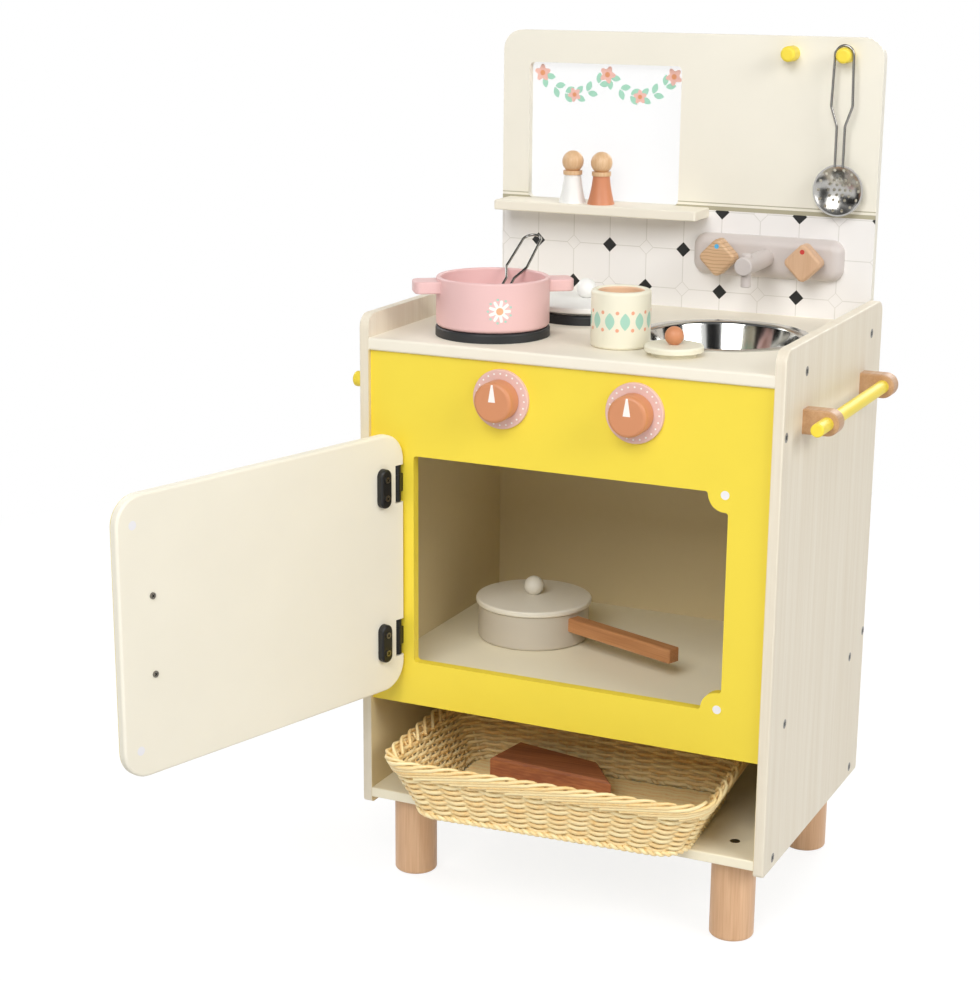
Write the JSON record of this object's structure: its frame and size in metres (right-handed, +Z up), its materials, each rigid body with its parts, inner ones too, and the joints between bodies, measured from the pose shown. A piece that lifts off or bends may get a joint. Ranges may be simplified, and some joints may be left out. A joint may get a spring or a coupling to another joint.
{
  "type": "toy kitchen",
  "caption": "Wooden toy kitchen with an open oven door, round sink, hob plates, tap, towel rail, shelf and basket, with pots, jar, shakers and wire utensils.",
  "frame": {"origin": "on the floor under the middle of the cabinet's footprint", "axes": "+Z is up, the front faces -Y, and +X is to the right seen from the front"},
  "size_m": [0.5304, 0.6434, 0.825],
  "materials": {
    "cream_paint": "satin paint on fibreboard",
    "yellow_paint": "satin paint on fibreboard",
    "beech": "clear lacquer",
    "terracotta_paint": "satin paint",
    "pink_paint": "satin paint",
    "charcoal_paint": "satin paint",
    "white_paint": "satin paint",
    "ivory_paint": "satin paint",
    "tap_paint": "satin paint",
    "pan_paint": "satin paint",
    "warm_wood": "clear lacquer",
    "dark_wood": "dark stain",
    "straw": "plain woven cane",
    "clear_pane": "clear",
    "bright_steel": "bright",
    "plated_steel": "plated",
    "black_metal": "black coat"
  },
  "bodies": {
    "cabinet": {"back_board": "cream_paint", "bottom_shelf": "cream_paint", "frame_hinge_knuckles": "black_metal", "frame_magnets": "plated_steel", "front_hob_plate": "charcoal_paint", "front_left_leg": "beech", "front_panel": "yellow_paint", "front_rail_bracket": "beech", "front_right_leg": "beech", "hinge_pins": "plated_steel", "hook_pegs": "yellow_paint", "left_dial": "pink_paint", "left_side_panel": "cream_paint", "leg_bolts": "plated_steel", "oven_floor": "cream_paint", "rear_hob_plate": "charcoal_paint", "rear_left_leg": "beech", "rear_rail_bracket": "beech", "rear_right_leg": "beech", "right_dial": "pink_paint", "right_side_panel": "cream_paint", "side_bolts": "plated_steel", "spout_nozzle": "tap_paint", "tap_base": "tap_paint", "tap_spout": "tap_paint", "towel_rail_bar": "yellow_paint", "turning_spindles": "plated_steel", "window_pane": "clear_pane", "window_shelf": "cream_paint", "worktop": "cream_paint"},
    "oven_door": {"door_panel": "yellow_paint", "door_hinge_knuckles": "black_metal", "hinge_cover_plates": "black_metal", "door_screws": "plated_steel", "door_handle": "beech", "door_magnets": "plated_steel"},
    "left_oven_knob": {"left_knob": "terracotta_paint"},
    "right_oven_knob": {"right_knob": "terracotta_paint"},
    "cold_tap": {"cold_tap_handle": "beech"},
    "hot_tap": {"hot_tap_handle": "beech"},
    "sink": {"sink_basin": "bright_steel"},
    "cooking_pot": {"pot": "pink_paint", "pot_lugs": "pink_paint"},
    "ladle": {"ladle_bowl": "bright_steel", "ladle_handle": "bright_steel"},
    "cooking_pot_lid": {"pot_lid": "white_paint"},
    "pan": {"saucepan": "pan_paint", "saucepan_handle": "warm_wood"},
    "pan_lid": {"saucepan_lid": "pan_paint"},
    "storage_jar": {"jar": "ivory_paint"},
    "storage_jar_lid": {"jar_lid": "ivory_paint", "jar_lid_knob": "terracotta_paint"},
    "pepper_shaker": {"pepper_body": "white_paint", "pepper_head": "beech"},
    "salt_shaker": {"salt_body": "terracotta_paint", "salt_head": "beech"},
    "skimmer": {"skimmer_bowl": "bright_steel", "skimmer_handle": "bright_steel"},
    "wicker_basket": {"basket": "straw"},
    "block": {"wooden_block": "dark_wood"}
  },
  "joints": [
    {"name": "door_swing", "type": "hinge", "parent": "cabinet", "child": "oven_door", "pos_m": [-0.1695, -0.157, 0.3375], "axis": [0, 0, -1], "range_deg": [-106, 59]},
    {"name": "left_knob_turn", "type": "hinge", "parent": "cabinet", "child": "left_oven_knob", "pos_m": [-0.0624, -0.1639, 0.5055], "axis": [0, -1, 0], "continuous": true},
    {"name": "right_knob_turn", "type": "hinge", "parent": "cabinet", "child": "right_oven_knob", "pos_m": [0.0702, -0.1639, 0.5055], "axis": [0, -1, 0], "continuous": true},
    {"name": "cold_tap_turn", "type": "hinge", "parent": "cabinet", "child": "cold_tap", "pos_m": [0.05, 0.121, 0.61], "axis": [0, -1, 0], "continuous": true},
    {"name": "hot_tap_turn", "type": "hinge", "parent": "cabinet", "child": "hot_tap", "pos_m": [0.138, 0.121, 0.61], "axis": [0, -1, 0], "continuous": true},
    {"name": "sink_lift", "type": "slide", "parent": "cabinet", "child": "sink", "axis": [0, 0, 1], "range_m": [0, 0.03]},
    {"name": "pot_lift", "type": "slide", "parent": "cabinet", "child": "cooking_pot", "axis": [0, 0, 1], "range_m": [0, 0.08]},
    {"name": "ladle_lift", "type": "slide", "parent": "cooking_pot", "child": "ladle", "axis": [0, 0, 1], "range_m": [0, 0.07]},
    {"name": "pot_lid_lift", "type": "slide", "parent": "cabinet", "child": "cooking_pot_lid", "axis": [0, 0, 1], "range_m": [0, 0.045]},
    {"name": "pan_slide", "type": "slide", "parent": "cabinet", "child": "pan", "axis": [0.3308, -0.9222, 0.2005], "range_m": [0, 0.26]},
    {"name": "pan_lid_lift", "type": "slide", "parent": "pan", "child": "pan_lid", "axis": [0, 0, 1], "range_m": [0, 0.06]},
    {"name": "jar_lift", "type": "slide", "parent": "cabinet", "child": "storage_jar", "axis": [0, 0, 1], "range_m": [0, 0.06]},
    {"name": "jar_lid_lift", "type": "slide", "parent": "cabinet", "child": "storage_jar_lid", "axis": [0, 0, 1], "range_m": [0, 0.06]},
    {"name": "pepper_lift", "type": "slide", "parent": "cabinet", "child": "pepper_shaker", "axis": [0, 0, 1], "range_m": [0, 0.06]},
    {"name": "salt_lift", "type": "slide", "parent": "cabinet", "child": "salt_shaker", "axis": [0, 0, 1], "range_m": [0, 0.06]},
    {"name": "skimmer_swing", "type": "hinge", "parent": "cabinet", "child": "skimmer", "pos_m": [0.164, 0.133, 0.8085], "axis": [0, -1, 0], "range_deg": [-35, 35]},
    {"name": "basket_slide", "type": "slide", "parent": "cabinet", "child": "wicker_basket", "axis": [0, -1, 0], "range_m": [-0.115, 0.15]},
    {"name": "block_lift", "type": "slide", "parent": "wicker_basket", "child": "block", "axis": [0, 0, 1], "range_m": [0, 0.06]}
  ]
}
